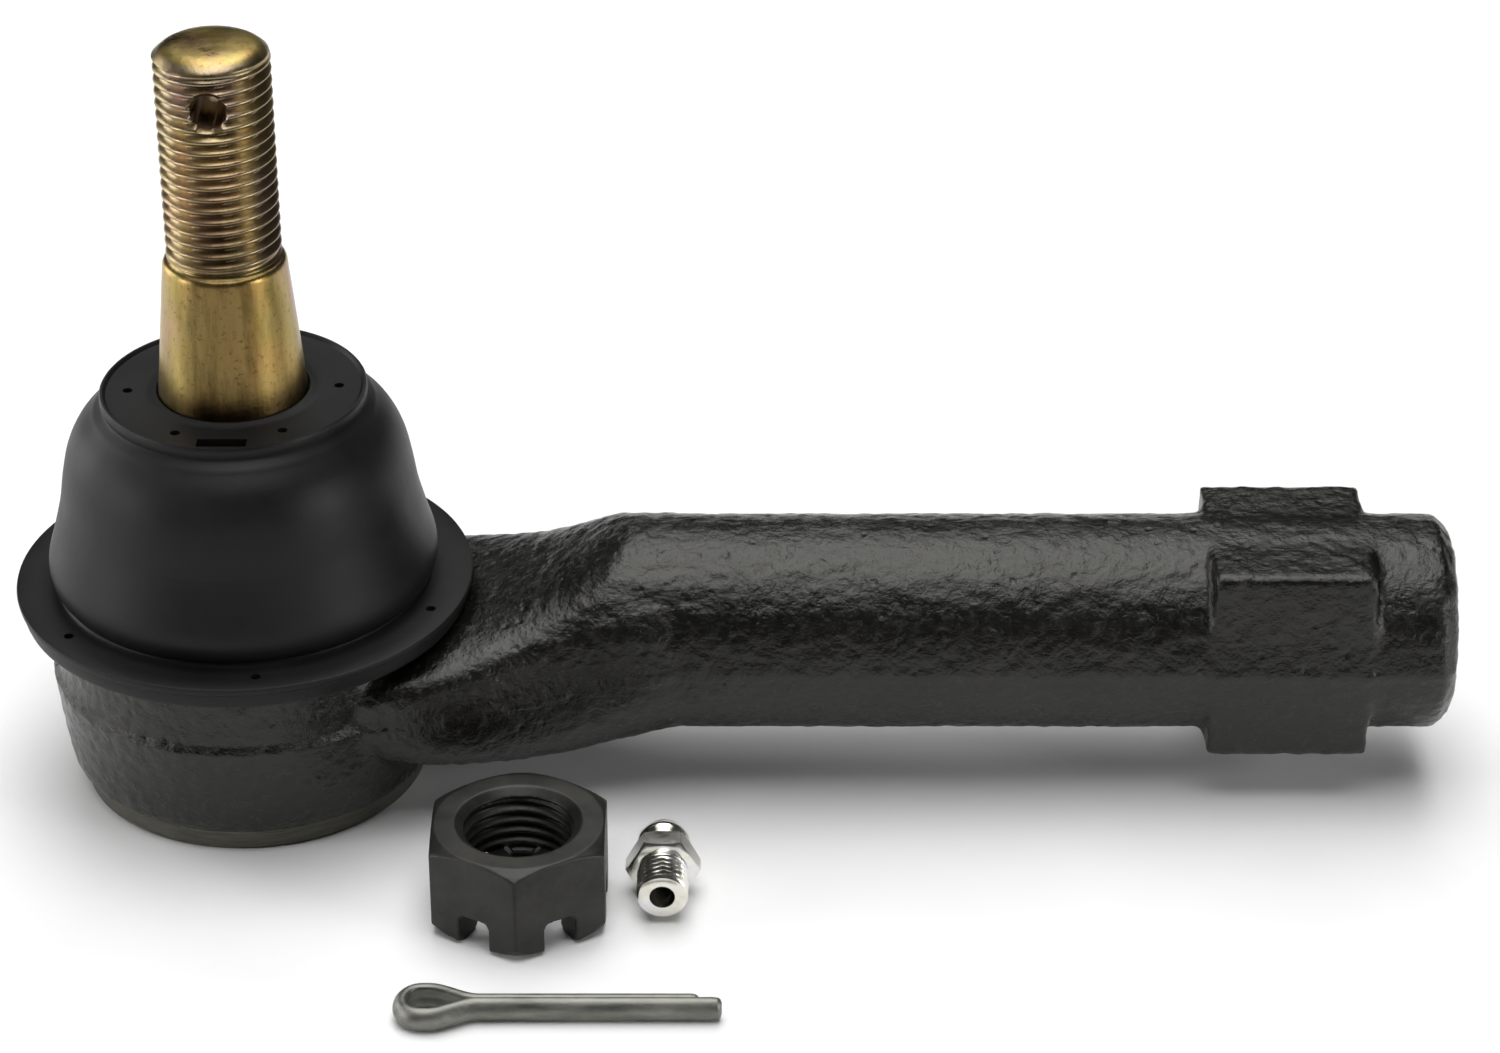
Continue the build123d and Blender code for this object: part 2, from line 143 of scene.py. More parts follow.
def modify(piece, kind, **settings):
    """Adds a modifier with its settings and applies it."""
    only(piece)
    modifier = piece.modifiers.new(kind.lower(), kind)
    for name, value in settings.items():
        setattr(modifier, name, value)
    bpy.ops.object.modifier_apply(modifier=modifier.name)


def cut(piece, cutter, operation="DIFFERENCE"):
    """Cuts one piece with another, or joins or intersects them, and throws the cutter away."""
    modify(piece, "BOOLEAN", object=cutter, operation=operation, solver="EXACT")
    bpy.data.objects.remove(cutter)


forged_skin, tree, shader = begin("forged_skin")
broad = grain(tree, 90, 5)
fine = grain(tree, 900, 6, 0.6)
pits = grain(tree, 420, kind="ShaderNodeTexVoronoi")
coat = shades(tree, broad.outputs["Fac"], [(0.3, (0.003, 0.003, 0.0026)), (0.75, (0.0075, 0.0073, 0.006))])
# Lighter specks mixed into the coat: painted glints, standing in for the sparkle of the rough skin.
painted_glint_specks = shades(tree, fine.outputs["Fac"], [(0.5, 0.0), (0.78, 0.4)])
tree.links.new(blended(tree, coat, (0.035, 0.034, 0.028), painted_glint_specks), shader.inputs["Base Color"])
tree.links.new(shades(tree, fine.outputs["Fac"], [(0.3, 0.15), (0.7, 0.3)]), shader.inputs["Roughness"])
coarse_skin = relief(tree, shader, fine.outputs["Fac"], 0.5, 0.0005)
pitted = shades(tree, pits.outputs["Distance"], [(0.0, 0.0), (0.25, 1.0)])
relief(tree, shader, pitted, 0.35, 0.0003, coarse_skin)
shader.inputs["Specular IOR Level"].default_value = 0.42
shader.inputs["Specular Tint"].default_value = (1, 0.99, 0.93, 1)

machined_rim, tree, shader = begin("machined_rim")
turned = grain(tree, 260, 6, 0.6, (1, 1, 14))
tree.links.new(
    shades(tree, turned.outputs["Fac"], [(0.3, (0.07, 0.069, 0.055)), (0.75, (0.17, 0.166, 0.135))]),
    shader.inputs["Base Color"],
)
tree.links.new(shades(tree, turned.outputs["Fac"], [(0.3, 0.38), (0.7, 0.6)]), shader.inputs["Roughness"])
relief(tree, shader, turned.outputs["Fac"], 0.3, 0.0002)
shader.inputs["Metallic"].default_value = 0.7

shank_height = 1.7 * MM
shank_bore = 8.25 * MM
shank_bore_depth = 40 * MM
rim_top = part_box("housing")[0].z + 2.9 * MM
shoulder = 5.8 * MM
parting_line = [(20, -2.4), (25, -2.4), (31.5, -1.8), (38, -0.6), (47, 1.0), (54, 1.7), (160, 1.7)]


def parting_height(x):
    """Height of the forging's parting line at a place along the shank, both in metres."""
    for (x0, z0), (x1, z1) in zip(parting_line, parting_line[1:]):
        if x <= x1 * MM:
            share = max(0.0, (x / MM - x0) / (x1 - x0))
            return (z0 + (z1 - z0) * share) * MM
    return parting_line[-1][1] * MM


forging = bpy.data.objects.new("forged_housing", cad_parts["housing"].data.copy())
bpy.context.scene.collection.objects.link(forging)
only(forging)
bpy.ops.object.mode_set(mode="EDIT")
bpy.ops.mesh.select_all(action="SELECT")
bpy.ops.mesh.remove_doubles(threshold=0.002 * MM)
bpy.ops.object.mode_set(mode="OBJECT")
modify(forging, "REMESH", mode="VOXEL", voxel_size=0.6 * MM, use_smooth_shade=True)

shank_radius = 13.5 * MM
neck_start, neck_end = 42 * MM, 62 * MM
trim_edge, trim_fade = 13 * MM, 3 * MM
for v in forging.data.vertices:
    x, y, z = v.co
    trim = min(1.0, max(0.0, (trim_edge - abs(y)) / trim_fade))
    if neck_start < x < neck_end and trim > 0 and z > shank_height:
        round_top = shank_height + math.sqrt(shank_radius**2 - y**2)
        v.co.z += trim * (min(z, round_top) - z)
rough = forging.vertex_groups.new(name="forged")
socket_zone, bore_zone, rim_zone, seat_zone = 20.4 * MM, 9 * MM, 24 * MM, 29.4 * MM
bore_start = 70 * MM
for v in forging.data.vertices:
    x, y, z = v.co
    from_ball = math.hypot(x, y)
    from_bore = math.hypot(y, z - shank_height)
    socket = from_ball < socket_zone and x < 20.5 * MM
    bore = x > bore_start and from_bore < bore_zone
    rim = z < rim_top and from_ball < rim_zone
    seat = from_ball < seat_zone and z > shoulder - 0.5 * MM
    fade = min(1.0, max(0.0, (z - rim_top) / (1.5 * MM)))
    if not (socket or bore or rim or seat):
        rough.add([v.index], fade, "REPLACE")
modify(forging, "SMOOTH", factor=0.5, iterations=5, vertex_group="forged")

flash = 0.5 * MM
cup_parting = -2.4 * MM
cup_end = 24 * MM
for v in forging.data.vertices:
    x, y, z = v.co
    rise = z - parting_height(x)
    width = math.hypot(y, rise)
    from_ball = math.hypot(x, y)
    if x > cup_end and abs(y) > 8 * MM and width > 9 * MM:
        ridge = flash * math.exp(-abs(rise) / (1.4 * MM))
        if rise < 0:
            ridge = max(ridge, 0.6 * flash * (1 + rise / (9 * MM)))
        ridge *= min(1.0, (x - cup_end) / (7 * MM))
        v.co.y += math.copysign(ridge, y)
    elif from_ball > 22 * MM and x < cup_end:
        ridge = -0.25 * flash
        if z < cup_parting:
            ridge = 0.8 * flash * min(1.0, (z - rim_top) / (3 * MM))
        ridge *= min(1.0, (cup_end - x) / (9 * MM))
        v.co.x *= 1 + ridge / from_ball
        v.co.y *= 1 + ridge / from_ball

for name, size, depth in (("swell", 5.0, 0.16), ("peel", 1.6, 0.42)):
    cloud = bpy.data.textures.new(name, "CLOUDS")
    cloud.noise_scale = size * MM
    cloud.noise_depth = 3
    modify(
        forging, "DISPLACE", texture=cloud, texture_coords="LOCAL", strength=depth * MM,
        mid_level=0.5, vertex_group="forged",
    )

only(forging)
bpy.ops.mesh.primitive_cylinder_add(vertices=96, radius=shank_bore, depth=shank_bore_depth,
                                    rotation=(0, math.pi / 2, 0),
                                    location=(cad_box[1][0] - shank_bore_depth / 2 + 0.1 * MM, 0,
                                        shank_height))
cut(forging, bpy.context.object)

bpy.ops.object.select_all(action="DESELECT")
bpy.ops.mesh.primitive_cylinder_add(vertices=128, radius=30 * MM, depth=6 * MM, location=(0, 0,
    rim_top - 3 * MM))
cut(forging, bpy.context.object)
forging.data.materials.clear()
forging.data.materials.append(forged_skin)
forging.data.materials.append(machined_rim)
for face in forging.data.polygons:
    x, y, z = face.center
    face.use_smooth = True
    in_socket = math.hypot(x, y) < 19.6 * MM and x < 20 * MM
    in_bore = x > bore_start and math.hypot(y, z - shank_height) < 8.6 * MM
    face.material_index = 1 if in_socket or in_bore else 0
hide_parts("housing")
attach(forging, "housing")


# ---------------------------------------------------------------------------------------------
# Rim under the cup: the foot of the forging, faced and turned in a lathe. It is bare steel,
# drawn as a ring that closes the cup below its forged skin.
def lathe(name, outline, steps=96):
    """A piece turned from an outline of (radius, height) points in millimetres, spun round Z."""
    bpy.ops.object.select_all(action="DESELECT")
    bpy.ops.mesh.primitive_plane_add(size=MM)
    piece = bpy.context.object
    piece.name = name
    bpy.ops.object.mode_set(mode="EDIT")
    bpy.ops.mesh.select_all(action="SELECT")
    bpy.ops.mesh.merge(type="CENTER")
    r, z = outline[0]
    bpy.ops.transform.translate(value=(r * MM, 0, z * MM))
    for (r0, z0), (r1, z1) in zip(outline, outline[1:]):
        bpy.ops.mesh.extrude_region_move(
            TRANSFORM_OT_translate={"value": ((r1 - r0) * MM, 0, (z1 - z0) * MM)}
        )
    bpy.ops.mesh.select_all(action="SELECT")
    bpy.ops.mesh.remove_doubles(threshold=0.004 * MM)
    bpy.ops.mesh.select_all(action="SELECT")
    bpy.ops.mesh.spin(steps=steps, angle=2 * math.pi, center=(0, 0, 0), axis=(0, 0, 1))
    bpy.ops.mesh.select_all(action="SELECT")
    bpy.ops.mesh.remove_doubles(threshold=0.004 * MM)
    bpy.ops.mesh.normals_make_consistent(inside=False)
    bpy.ops.object.mode_set(mode="OBJECT")
    piece.data.materials.clear()
    return piece


rim_outline = [(14.6, -18.6), (21.3, -18.6), (21.6, -18.3), (21.6, -15.4), (16.6, -15.4), (16.6, -17.0)]
rim_outline += [(14.6, -17.0), (14.6, -18.6)]
cup_rim = lathe("cup_rim", rim_outline, 160)
cup_rim.data.materials.append(machined_rim)
only(cup_rim)
bpy.ops.object.shade_smooth_by_angle(angle=math.radians(30))
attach(cup_rim, "housing")


# ---------------------------------------------------------------------------------------------
# Thread in the shank: cut M16 x 1.5 with a tap, so it is bare steel under a film of oil.
# It is a sleeve here, which lines the shank's bore.
def cut_thread(piece, pitch, root, crest, low, high, runout):
    """Pushes the rings of a turned piece to a helix between two radii. Sizes in millimetres."""
    for v in piece.data.vertices:
        x, y, z = v.co / MM
        radius = math.hypot(x, y)
        if low <= z <= high and min(root, crest) - 0.2 <= radius <= max(root, crest) + 0.2:
            turn = (z / pitch - math.atan2(y, x) / (2 * math.pi)) % 1.0
            flank = min(1.0, max(0.0, 1.3 * (1.0 - abs(2 * turn - 1.0)) - 0.12))
            faded = min(1.0, (z - low) / runout, (high - z) / runout)
            flank = 1.0 - (1.0 - flank) * max(0.0, faded)
            target = root + (crest - root) * flank
            v.co.x *= target / radius
            v.co.y *= target / radius


def rings(radius, low, high, pitch, per_turn=8):
    """Points up a wall, close enough together to carry a thread."""
    count = round((high - low) / pitch * per_turn)
    return [(radius, low + (high - low) * i / count) for i in range(count + 1)]


tapped_steel, tree, shader = begin("tapped_steel")
oil = grain(tree, 300, 5)
tree.links.new(
    shades(tree, oil.outputs["Fac"], [(0.3, (0.1, 0.095, 0.08)), (0.75, (0.3, 0.29, 0.26))]),
    shader.inputs["Base Color"],
)
tree.links.new(shades(tree, oil.outputs["Fac"], [(0.3, 0.22), (0.8, 0.45)]), shader.inputs["Roughness"])
relief(tree, shader, oil.outputs["Fac"], 0.2, 0.0001)
shader.inputs["Metallic"].default_value = 1.0

thread_depth = 40.0
sleeve_outline = [(8.3, 0), (8.3, thread_depth), (7.3, thread_depth)]
sleeve_outline += list(reversed(rings(7.3, 1.1, thread_depth - 0.5, 1.5))) + [(8.2, 0)]
shank_thread = lathe("shank_thread", sleeve_outline, 72)
cut_thread(shank_thread, 1.5, 8.05, 7.3, 1.0, thread_depth - 0.4, 0.8)
only(shank_thread)
bpy.ops.transform.rotate(value=math.pi / 2, orient_axis="Y", center_override=(0, 0, 0))
bpy.ops.object.transform_apply(rotation=True)
thread_end = max(v.co.x for v in shank_thread.data.vertices)
shank_thread.location = Vector((cad_box[1][0], 0, shank_height)) - Vector((thread_end, 0, 0))
bpy.ops.object.transform_apply(location=True)
shank_thread.data.materials.append(tapped_steel)
bpy.ops.object.shade_smooth_by_angle(angle=math.radians(40))
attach(shank_thread, "housing")


# ---------------------------------------------------------------------------------------------
# Bearings, spring and cover: the polymer bearings are moulded, and the coned spring and the
# pressed cover plate are plain steel. They are shut in the cup by its rolled rim.
moulded_polymer, tree, shader = begin("moulded_polymer")
clouding = grain(tree, 150, 5)
tree.links.new(
    shades(tree, clouding.outputs["Fac"], [(0.3, (0.62, 0.6, 0.5)), (0.75, (0.8, 0.78, 0.7))]),
    shader.inputs["Base Color"],
)
tree.links.new(shades(tree, clouding.outputs["Fac"], [(0.3, 0.4), (0.7, 0.55)]), shader.inputs["Roughness"])
relief(tree, shader, clouding.outputs["Fac"], 0.2, 0.0001)
pressed_steel, tree, shader = begin("pressed_steel")
rolled = grain(tree, 380, 6, 0.6, (1, 6, 1))
tree.links.new(
    shades(tree, rolled.outputs["Fac"], [(0.3, (0.16, 0.16, 0.15)), (0.75, (0.34, 0.34, 0.32))]),
    shader.inputs["Base Color"],
)
tree.links.new(shades(tree, rolled.outputs["Fac"], [(0.3, 0.28), (0.7, 0.5)]), shader.inputs["Roughness"])
relief(tree, shader, rolled.outputs["Fac"], 0.25, 0.0001)
shader.inputs["Metallic"].default_value = 1.0


def finish_node(node, material):
    """Gives a CAD node that keeps its own shape a better material."""
    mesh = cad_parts[node].data
    mesh.materials.clear()
    mesh.materials.append(material)


for node in ("upper_bearing", "lower_bearing", "seal_bush"):
    finish_node(node, moulded_polymer)
for node in ("preload_spring", "cover_plate", "boot_base_ring", "boot_top_ring"):
    finish_node(node, pressed_steel)


# ---------------------------------------------------------------------------------------------
# Ball stud: turned and ground steel with a rolled M14 x 1.5 thread, zinc plated and passivated
# yellow, so it is gold with brown, pink and green stains. A dark streak down the front of the taper
# is painted shade, and the dark band at the taper's foot is grease with painted shadow. A drilled hole
# takes the cotter pin.
taper_low, taper_high = 34.4, 52.6
thread_low, thread_high = 53.6, 79.6
stud_outline = [(0, -11.5)]
stud_outline += [(11.5 * math.sin(a),
    -11.5 * math.cos(a)) for a in [math.pi * i / 40 for i in range(1, 32)]]
stud_outline += [(6.75, 9.33), (6.7, 9.6), (6.7, 15.0), (7.1, 17.0), (8.4, 19.6), (9.1, 21.4), (9.2,
    23.0), (9.2, 33.2)]
stud_outline += [(9.2, taper_low)]
stud_outline += [(9.2 - 1.65 * i / 16,
    taper_low + (taper_high - 0.5 - taper_low) * i / 16) for i in range(1, 17)]
stud_outline += [(7.5, 52.4), (7.36, 52.75), (7.1, 52.95), (6.75, 53.05), (6.65, 53.3)]
stud_outline += rings(6.98, thread_low, thread_high, 1.5, 9)
stud_outline += [(6.6, 79.95), (6.2, 80.25), (5.4, 80.6), (4.2, 80.85), (2.6, 80.97), (0, 81.0)]
stud = lathe("stud", stud_outline, 128)
cut_thread(stud, 1.5, 6.2, 7.0, thread_low - 0.05, thread_high + 0.05, 1.0)
for v in stud.data.vertices:
    x, y, z = v.co / MM
    radius = math.hypot(x, y)
    limit = 6.35 + 1.15 * (thread_high + 0.4 - z)
    if z > thread_high - 1.2 and radius > limit:
        v.co.x *= limit / radius
        v.co.y *= limit / radius

cotter_height = 74.6 * MM
bpy.ops.object.select_all(action="DESELECT")
bpy.ops.mesh.primitive_cylinder_add(vertices=48, radius=2.15 * MM, depth=20 * MM, rotation=(math.pi / 2,
    0, 0),
                                    location=(0, 0, cotter_height))
cut(stud, bpy.context.object)
for side in (-1, 1):
    bpy.ops.object.select_all(action="DESELECT")
    bpy.ops.mesh.primitive_cone_add(vertices=48, radius1=4.4 * MM, radius2=1.4 * MM, depth=3 * MM,
                                    rotation=(side * math.pi / 2, 0, 0),
                                    location=(0, side * 6.95 * MM, cotter_height))
    cut(stud, bpy.context.object)

gold_zinc, tree, shader = begin("gold_zinc")
streaks = grain(tree, 210, 6, 0.65, (1, 1, 0.16))
specks = grain(tree, 1500, 4, 0.7)
patches = grain(tree, 75, 4, 0.5, (1, 1, 0.6))
gold = shades(tree, streaks.outputs["Fac"],
              [(0.28, (0.12, 0.06, 0.018)), (0.44, (0.34, 0.2, 0.055)), (0.58, (0.52, 0.36, 0.13)),
                  (0.75, (0.26, 0.15, 0.045))])
sheen = shades(tree, patches.outputs["Fac"],
               [(0.36, (0.36, 0.15, 0.12)), (0.46, (0.44, 0.3, 0.11)), (0.56, (0.22, 0.24, 0.08)), (0.66,
                   (0.36, 0.22, 0.2))])
tinted = blended(tree, gold, sheen, shades(tree, patches.outputs["Fac"], [(0.35, 0.15), (0.7, 0.6)]))
stain = shades(tree, specks.outputs["Fac"], [(0.55, 0.0), (0.72, 0.75)])
tinted = blended(tree, tinted, (0.12, 0.06, 0.02), stain)
height = tree.nodes.new("ShaderNodeSeparateXYZ")
place = tree.nodes.new("ShaderNodeTexCoord")
tree.links.new(place.outputs["Object"], height.inputs["Vector"])
# Darker band at the foot of the taper, just above the boot: grease, with painted shadow where the stud goes
# into the boot.
grease_and_painted_shadow = tree.nodes.new("ShaderNodeMapRange")
grease_and_painted_shadow.inputs["From Min"].default_value = 0.0352
grease_and_painted_shadow.inputs["From Max"].default_value = 0.0392
grease_and_painted_shadow.inputs["To Min"].default_value = 0.72
grease_and_painted_shadow.inputs["To Max"].default_value = 0.0
grease_and_painted_shadow.interpolation_type = "SMOOTHSTEP"
wavy = tree.nodes.new("ShaderNodeMath")
wavy.operation = "MULTIPLY_ADD"
wavy.inputs[1].default_value = 0.006
tree.links.new(patches.outputs["Fac"], wavy.inputs[0])
tree.links.new(height.outputs["Z"], wavy.inputs[2])
lowered = tree.nodes.new("ShaderNodeMath")
lowered.operation = "SUBTRACT"
lowered.inputs[1].default_value = 0.003
tree.links.new(wavy.outputs["Value"], lowered.inputs[0])
tree.links.new(lowered.outputs["Value"], grease_and_painted_shadow.inputs["Value"])
rolled_zone = tree.nodes.new("ShaderNodeMapRange")
rolled_zone.inputs["From Min"].default_value = 0.0525
rolled_zone.inputs["From Max"].default_value = 0.0545
rolled_zone.inputs["To Max"].default_value = 0.62
tree.links.new(height.outputs["Z"], rolled_zone.inputs["Value"])
rolled_tint = shades(tree, patches.outputs["Fac"], [(0.35, (0.3, 0.21, 0.17)), (0.5, (0.3, 0.25, 0.16)),
    (0.65, (0.26, 0.2, 0.2))])
domed_zone = tree.nodes.new("ShaderNodeMapRange")
domed_zone.inputs["From Min"].default_value = 0.0797
domed_zone.inputs["From Max"].default_value = 0.0804
domed_zone.inputs["To Min"].default_value = 1.0
domed_zone.inputs["To Max"].default_value = 0.0
tree.links.new(height.outputs["Z"], domed_zone.inputs["Value"])
rolled_only = tree.nodes.new("ShaderNodeMath")
rolled_only.operation = "MINIMUM"
tree.links.new(rolled_zone.outputs["Result"], rolled_only.inputs[0])
tree.links.new(domed_zone.outputs["Result"], rolled_only.inputs[1])
tinted = blended(tree, tinted, rolled_tint, rolled_only.outputs["Value"])
# Painted shade: a dark brown streak down the front of the taper, on the side facing the camera, standing in
# for the dark reflection band of the turned surface; it turns with the stud.
painted_shade_streak = tree.nodes.new("ShaderNodeTexGradient")
painted_shade_streak.gradient_type = "SPHERICAL"
painted_shade_place = tree.nodes.new("ShaderNodeMapping")
painted_shade_place.vector_type = "TEXTURE"
painted_shade_place.inputs["Location"].default_value = (-0.0002, -0.0085, 0.0445)
painted_shade_place.inputs["Scale"].default_value = (0.0058, 0.008, 0.026)
tree.links.new(place.outputs["Object"], painted_shade_place.inputs["Vector"])
tree.links.new(painted_shade_place.outputs["Vector"], painted_shade_streak.inputs["Vector"])
painted_shade_amount = tree.nodes.new("ShaderNodeMath")
painted_shade_amount.operation = "MULTIPLY"
tree.links.new(shades(tree, painted_shade_streak.outputs["Fac"], [(0.03, 0.0), (0.42, 1.0)]), painted_shade_amount.inputs[0])
tree.links.new(shades(tree, streaks.outputs["Fac"], [(0.3, 0.95), (0.65, 0.5)]), painted_shade_amount.inputs[1])
tinted = blended(tree, tinted, (0.04, 0.026, 0.012), painted_shade_amount.outputs["Value"])
tree.links.new(blended(tree, tinted, (0.045, 0.028, 0.012), grease_and_painted_shadow.outputs["Result"]),
    shader.inputs["Base Color"])
tree.links.new(shades(tree, streaks.outputs["Fac"], [(0.3, 0.24), (0.7, 0.42)]), shader.inputs["Roughness"])
worn = relief(tree, shader, streaks.outputs["Fac"], 0.25, 0.0003)
relief(tree, shader, specks.outputs["Fac"], 0.3, 0.00012, worn)
shader.inputs["Metallic"].default_value = 1.0

stud.data.materials.append(gold_zinc)
only(stud)
bpy.ops.object.shade_smooth_by_angle(angle=math.radians(62))
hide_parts("ball_stud")
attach(stud, "stud")


# ---------------------------------------------------------------------------------------------
# Boot: one moulding of black rubber with a steel ring in its flange and one in its crown. The
# small holes are where the mould's pins held those rings. It is two pieces here, joined edge to
# edge halfway up the wall; the real wall bends in both swings of the ball.
def through(points, per_span=5):
    """Points of a smooth curve through the given (radius, height) points."""
    ends = [points[0], *points, points[-1]]
    curve = []
    for p0, p1, p2, p3 in zip(ends, ends[1:], ends[2:], ends[3:]):
        for i in range(per_span):
            t = i / per_span
            weights = (
                -0.5 * t + t * t - 0.5 * t**3,
                1 - 2.5 * t * t + 1.5 * t**3,
                0.5 * t + 2 * t * t - 1.5 * t**3,
                -0.5 * t * t + 0.5 * t**3,
            )
            curve.append(tuple(sum(w * p[k] for w, p in zip(weights, (p0, p1, p2, p3))) for k in (0, 1)))
    return curve + [points[-1]]


wall_outside = through([
    (17.5, 32.5), (19.4, 30.4), (20.8, 27.6), (21.6, 24.2), (22.2, 20.4), (23.2, 16.4), (24.15, 12.9),
    (23.9, 10.6), (23.1, 9.5), (23.4, 9.08),
])
seam = min(range(len(wall_outside)), key=lambda i: abs(wall_outside[i][1] - 20.4))
seam_height = wall_outside[seam][1]
wall_inside = through([(21.6, 11.4), (22.3, 13.2), (21.5, 16.6), (20.55, 20.4), (19.95, 24.0),
    (19.2, 27.0), (17.8, 29.4)])
inner_seam = min(range(len(wall_inside)), key=lambda i: abs(wall_inside[i][1] - seam_height))

skirt_outline = wall_outside[seam:]
skirt_outline += [(24.0, 9.0), (26.2, 9.0), (28.1, 9.0), (28.42, 8.9), (28.5, 8.6), (28.42, 8.2), (28.1,
    7.95)]
skirt_outline += [(27.9, 7.75), (27.9, 6.5), (27.75, 6.1), (27.4, 5.95), (24.0, 5.92), (20.82, 5.92),
    (20.82, 9.4)]
skirt_outline += [(20.9, 10.2)] + wall_inside[: inner_seam + 1] + [wall_outside[seam]]
boot_skirt = lathe("boot_skirt", skirt_outline, 144)

crown_outline = [wall_outside[0], (17.1, 33.0), (16.45, 33.35), (16.2, 33.7), (16.3, 34.1), (16.4, 34.6)]
crown_outline += [(16.38, 35.05), (16.22, 35.28), (15.95, 35.28), (15.75, 35.1), (15.6, 34.92), (15.2,
    34.9)]
crown_outline += [(13.0, 34.9), (11.0, 34.9), (10.2, 34.95), (9.8, 35.15), (9.45, 35.2), (9.25, 35.0),
    (9.25, 34.2)]
crown_outline += [(9.4, 33.85), (10.5, 33.85), (10.5, 31.6), (14.0, 31.6), (16.4, 31.3)]
crown_outline += list(reversed(wall_inside[inner_seam:]))
crown_outline += list(reversed(wall_outside[: seam + 1]))
boot_crown = lathe("boot_crown", crown_outline, 144)


def drill_ring(piece, circle, first_angle, top, bottom):
    """Six mould-pin holes on a circle. Sizes in millimetres and degrees."""
    for k in range(6):
        turn = math.radians(first_angle + 60 * k)
        bpy.ops.object.select_all(action="DESELECT")
        bpy.ops.mesh.primitive_cylinder_add(
            vertices=20, radius=0.62 * MM, depth=(top - bottom) * MM,
            location=(circle * math.cos(turn) * MM, circle * math.sin(turn) * MM, (top + bottom) / 2 * MM),
        )
        cut(piece, bpy.context.object)


drill_ring(boot_skirt, 25.6, -21.5, 9.6, 7.55)
drill_ring(boot_crown, 12.9, 3.0, 35.6, 33.65)
bpy.ops.object.select_all(action="DESELECT")
bpy.ops.mesh.primitive_cube_add(size=1, location=(0, -14.0 * MM, 35 * MM))
slot_cutter = bpy.context.object
slot_cutter.scale = (6.0 * MM, 1.9 * MM, 2.2 * MM)
cut(boot_crown, slot_cutter)

black_rubber, tree, shader = begin("black_rubber")
bloom = grain(tree, 60, 5, 0.6)
pores = grain(tree, 1800, 5, 0.65)
scuffs = grain(tree, 240, 8, 0.75, (1, 1, 3))
rubber = shades(tree, bloom.outputs["Fac"], [(0.3, (0.0032, 0.0032, 0.0032)),
    (0.7, (0.0075, 0.0075, 0.0073))])
shader.inputs["Specular IOR Level"].default_value = 0.24
scuffed = shades(tree, scuffs.outputs["Fac"], [(0.66, 0.0), (0.74, 0.4)])
tree.links.new(blended(tree, rubber, (0.055, 0.055, 0.055), scuffed), shader.inputs["Base Color"])
tree.links.new(shades(tree, bloom.outputs["Fac"], [(0.3, 0.4), (0.7, 0.55)]), shader.inputs["Roughness"])
soft = relief(tree, shader, bloom.outputs["Fac"], 0.15, 0.0006)
relief(tree, shader, pores.outputs["Fac"], 0.12, 0.0001, soft)
for piece in (boot_skirt, boot_crown):
    piece.data.materials.append(black_rubber)
    only(piece)
    bpy.ops.object.shade_smooth_by_angle(angle=math.radians(40))
    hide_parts("boot")
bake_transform(boot_skirt)
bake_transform(boot_crown)


# ---------------------------------------------------------------------------------------------
# Slotted nut: cold-formed hexagon with an M14 x 1.5 thread and six milled slots for the cotter
# pin, finished in black phosphate. It lies on its slotted face.
nut_low, nut_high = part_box("castle_nut")
nut_centre = (nut_low + nut_high) / 2
nut_height = (nut_high.z - nut_low.z) / MM
nut_corner = 21.0 / math.sqrt(3)
bpy.ops.object.select_all(action="DESELECT")
bpy.ops.mesh.primitive_cylinder_add(vertices=6, radius=nut_corner * MM, depth=nut_height * MM)
nut = bpy.context.object
nut.name = "slotted_nut"
half = nut_height / 2
barrel_outline = [(0, -half), (9.6, -half), (11.2, -half + 0.8), (12.3, -half + 2.0), (12.3, half - 1.2)]
barrel_outline += [(11.4, half - 0.55), (10.3, half), (0, half)]
barrel = lathe("barrel", barrel_outline, 96)
cut(nut, barrel, "INTERSECT")
for k in range(3):
    bpy.ops.object.select_all(action="DESELECT")
    bpy.ops.mesh.primitive_cube_add(size=1, rotation=(0, 0, math.radians(60 * k)))
    mill = bpy.context.object
    mill.scale = (30 * MM, 4.2 * MM, 8.8 * MM)
    mill.location = (0, 0, -half * MM)
    bpy.ops.object.transform_apply(scale=True)
    modify(mill, "BEVEL", width=0.9 * MM, segments=4, limit_method="ANGLE")
    cut(nut, mill)
bore_outline = [(0, -half - 1), (8.4, -half - 1), (6.5, -half + 0.9)]
bore_outline += rings(6.5, -half + 1.0, half - 1.1, 1.5, 9)
bore_outline += [(6.6, half - 1.0), (8.8, half + 1), (0, half + 1)]
tap = lathe("tap", bore_outline, 96)
cut_thread(tap, 1.5, 6.3, 7.1, -half + 0.95, half - 1.05, 0.6)
cut(nut, tap)
modify(nut, "REMESH", mode="VOXEL", voxel_size=0.19 * MM, use_smooth_shade=True)
modify(nut, "SMOOTH", factor=0.5, iterations=3)
only(nut)
nut.location = nut_centre
bpy.ops.object.transform_apply(location=True)

black_phosphate, tree, shader = begin("black_phosphate")
crystal = grain(tree, 2200, 5, 0.7)
handling = grain(tree, 190, 6, 0.6)
phosphate = shades(tree, handling.outputs["Fac"], [(0.3, (0.015, 0.015, 0.0135)),
    (0.75, (0.042, 0.041, 0.035))])
bright = shades(tree, crystal.outputs["Fac"], [(0.62, 0.0), (0.8, 0.35)])
tree.links.new(blended(tree, phosphate, (0.16, 0.155, 0.14), bright), shader.inputs["Base Color"])
tree.links.new(shades(tree, handling.outputs["Fac"], [(0.3, 0.36), (0.7, 0.5)]), shader.inputs["Roughness"])
relief(tree, shader, crystal.outputs["Fac"], 0.2, 0.0001)
shader.inputs["Metallic"].default_value = 0.6
nut.data.materials.clear()
nut.data.materials.append(black_phosphate)
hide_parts("castle_nut")
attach(nut, "nut")


